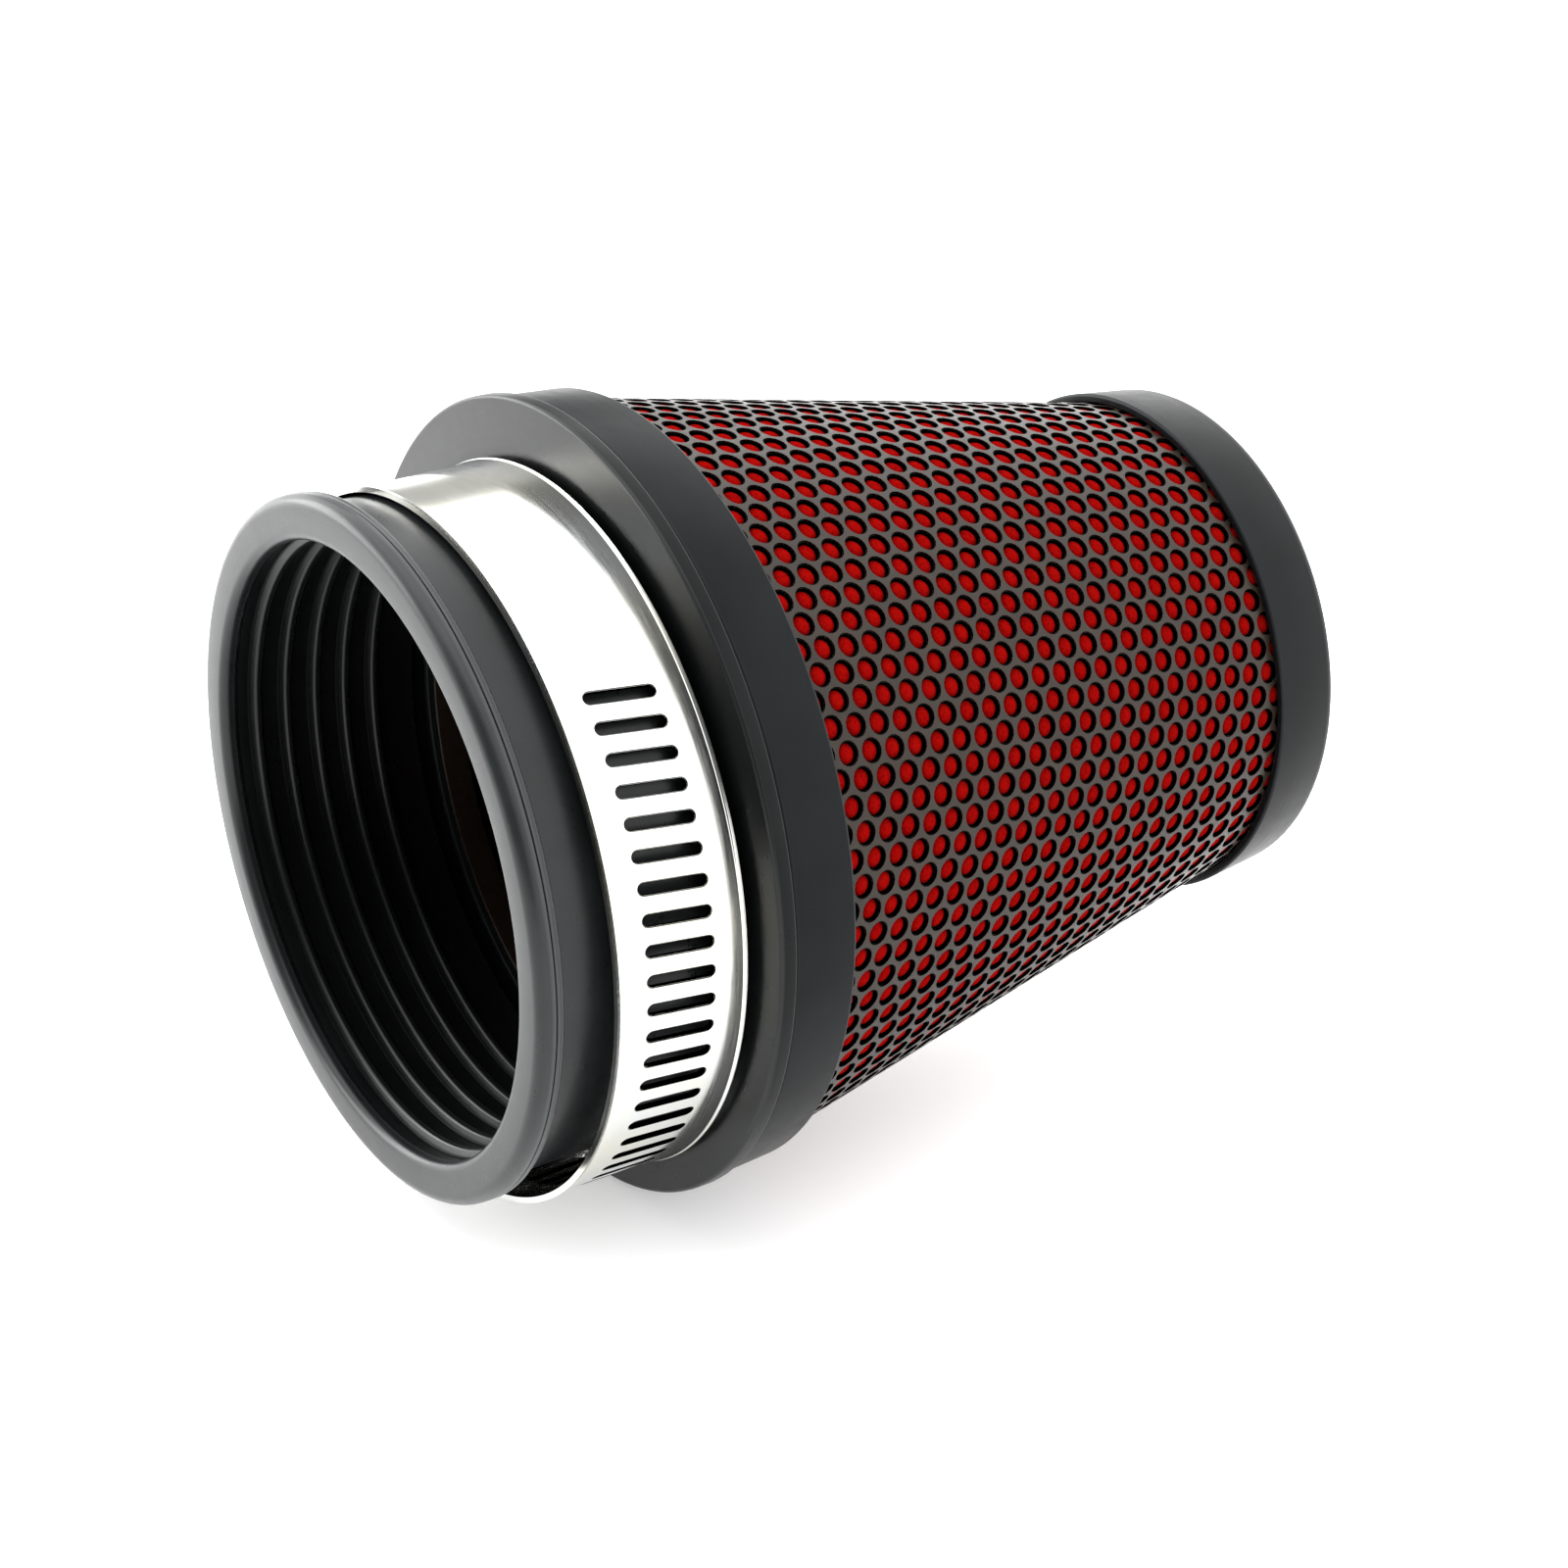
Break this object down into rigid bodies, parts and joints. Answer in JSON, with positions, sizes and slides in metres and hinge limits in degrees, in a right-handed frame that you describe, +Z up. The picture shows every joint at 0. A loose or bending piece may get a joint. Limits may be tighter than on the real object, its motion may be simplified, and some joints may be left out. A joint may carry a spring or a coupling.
{
  "type": "conical clamp-on air filter",
  "caption": "Conical open-element air filter with a rubber neck, a worm-drive hose clamp, a perforated steel cone over red foam, and a black end cap.",
  "frame": {"origin": "centre of the neck's mouth, on the filter's axis, in the plane of the lip's face", "axes": "+X along the filter's axis from the mouth to the closed cap, +Z up; the clamp's worm housing is on the +Y -Z side"},
  "size_m": [0.102, 0.0869, 0.0828],
  "materials": {
    "neck_rubber": "soft satin moulded rubber",
    "ring_plastic": "matte moulded ring with a glossy front edge",
    "screen_steel": "dull galvanised perforated sheet",
    "foam": "open red foam, lightly oiled",
    "potting": "cast polyurethane",
    "cap_black": "satin black moulding",
    "clamp_zinc": "bright zinc plated strip"
  },
  "bodies": {
    "filter": {"neck_moulding": "neck_rubber", "base_ring": "ring_plastic", "inner_collar": "screen_steel", "outer_screen": "screen_steel", "filter_foam": "foam", "inner_screen": "screen_steel", "base_potting": "potting", "inner_end_disc": "screen_steel", "cap_potting": "potting", "end_cap": "cap_black"},
    "clamp": {"clamp_band": "clamp_zinc", "clamp_saddle": "clamp_zinc", "clamp_housing": "clamp_zinc"},
    "tail": {"band_tail": "clamp_zinc"},
    "screw": {"worm_screw": "clamp_zinc"}
  },
  "joints": [
    {"name": "clamp_turn", "type": "hinge", "parent": "filter", "child": "clamp", "pos_m": [0.01448, -0.00061, -0.00103], "axis": [1, 0, 0], "continuous": true},
    {"name": "screw_turn", "type": "hinge", "parent": "clamp", "child": "screw", "pos_m": [0.01448, 0.03438, -0.02298], "axis": [0, -0.5314, -0.8471], "range_deg": [-360, 360]},
    {"name": "tail_feed", "type": "hinge", "parent": "clamp", "child": "tail", "pos_m": [0.01448, -0.00061, -0.00103], "axis": [1, 0, 0], "range_deg": [-4.8, 4.8]}
  ],
  "couplings": [
    {"joint": "tail_feed", "follows": "screw_turn", "ratio": 0.013333}
  ]
}
